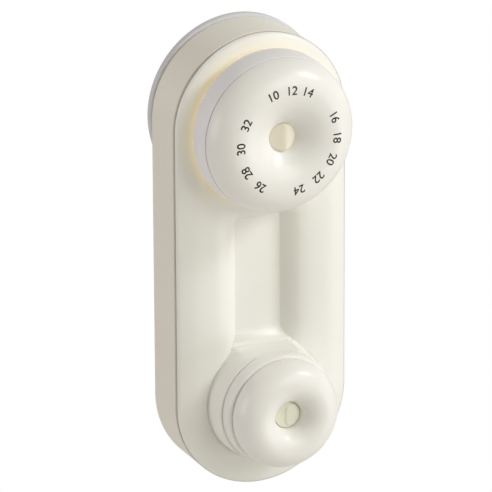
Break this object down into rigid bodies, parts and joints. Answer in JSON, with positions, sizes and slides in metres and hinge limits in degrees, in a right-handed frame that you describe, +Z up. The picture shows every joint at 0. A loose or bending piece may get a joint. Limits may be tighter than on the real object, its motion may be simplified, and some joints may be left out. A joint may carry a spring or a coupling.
{
  "type": "wall thermostat",
  "caption": "Oblong wall thermostat with a large round temperature dial at the top, a recessed centre strip and a small mode knob with a push button below.",
  "frame": {"origin": "on the wall face, at the axis of the temperature dial", "axes": "+Z up along the body, -Y out of the wall towards the user, +X to the viewer's right"},
  "size_m": [0.0868, 0.0629, 0.2208],
  "materials": {
    "plate_grey": "neutral grey moulded plastic, fine satin",
    "rubber": "soft dark rubber",
    "case_cream": "warm cream moulded plastic, satin",
    "cover_cream": "warm cream moulded plastic, soft gloss",
    "cap_cream": "warm cream moulded plastic, soft gloss",
    "button_cream": "slightly greenish cream plastic, gloss",
    "ring_grey": "light lilac grey plastic, satin",
    "glow_amber": "warm white light guide, lit",
    "white_plastic": "white moulded plastic",
    "component_black": "black component body",
    "board_green": "green solder resist on glass epoxy",
    "relay_blue": "blue relay case",
    "terminal_green": "green terminal housing",
    "fuse_glass": "glass tube with metal end caps",
    "steel": "plain zinc plated steel",
    "brass": "plain brass"
  },
  "bodies": {
    "housing": {"wall_plate": "plate_grey", "foot_pad": "rubber", "rear_case": "case_cream", "front_cover": "cover_cream", "centre_insert": "cover_cream", "case_screw_1": "steel", "case_screw_2": "steel", "case_screw_3": "steel", "case_screw_4": "steel", "main_board": "board_green", "board_screw_1": "steel", "board_screw_2": "steel", "board_screw_3": "steel", "board_screw_4": "steel", "terminal_block": "terminal_green", "terminal_screw_1": "steel", "terminal_screw_2": "steel", "terminal_screw_3": "steel", "terminal_screw_4": "steel", "relay": "relay_blue", "power_module": "component_black", "controller_chip": "component_black", "capacitor": "component_black", "fuse": "fuse_glass", "room_sensor": "component_black", "led_board": "white_plastic", "led_screw_1": "steel", "led_screw_2": "steel", "glow_ring": "glow_amber", "dial_encoder": "component_black", "encoder_washer": "steel", "encoder_nut": "brass", "selector_switch": "component_black", "selector_washer": "steel", "selector_nut": "brass", "tact_switch": "component_black"},
    "dial": {"encoder_shaft": "steel", "dial_carrier": "white_plastic", "dial_ring": "ring_grey", "dial_cap": "cap_cream", "dial_centre_cap": "cap_cream"},
    "knob": {"selector_tube": "steel", "knob_carrier": "white_plastic", "knob_ring": "cap_cream", "knob_cap": "cap_cream", "button_spring": "steel"},
    "button": {"push_button": "button_cream"}
  },
  "joints": [
    {"name": "dial_turn", "type": "hinge", "parent": "housing", "child": "dial", "pos_m": [0, -0.045, 0], "axis": [0, -1, 0], "range_deg": [-150, 150]},
    {"name": "knob_turn", "type": "hinge", "parent": "housing", "child": "knob", "pos_m": [0, -0.05, -0.1335], "axis": [0, -1, 0], "range_deg": [-60, 60]},
    {"name": "button_press", "type": "slide", "parent": "knob", "child": "button", "axis": [0, 1, 0], "range_m": [0, 0.0013], "stiffness_N_per_m": 600, "deforming": ["button_spring"]}
  ]
}
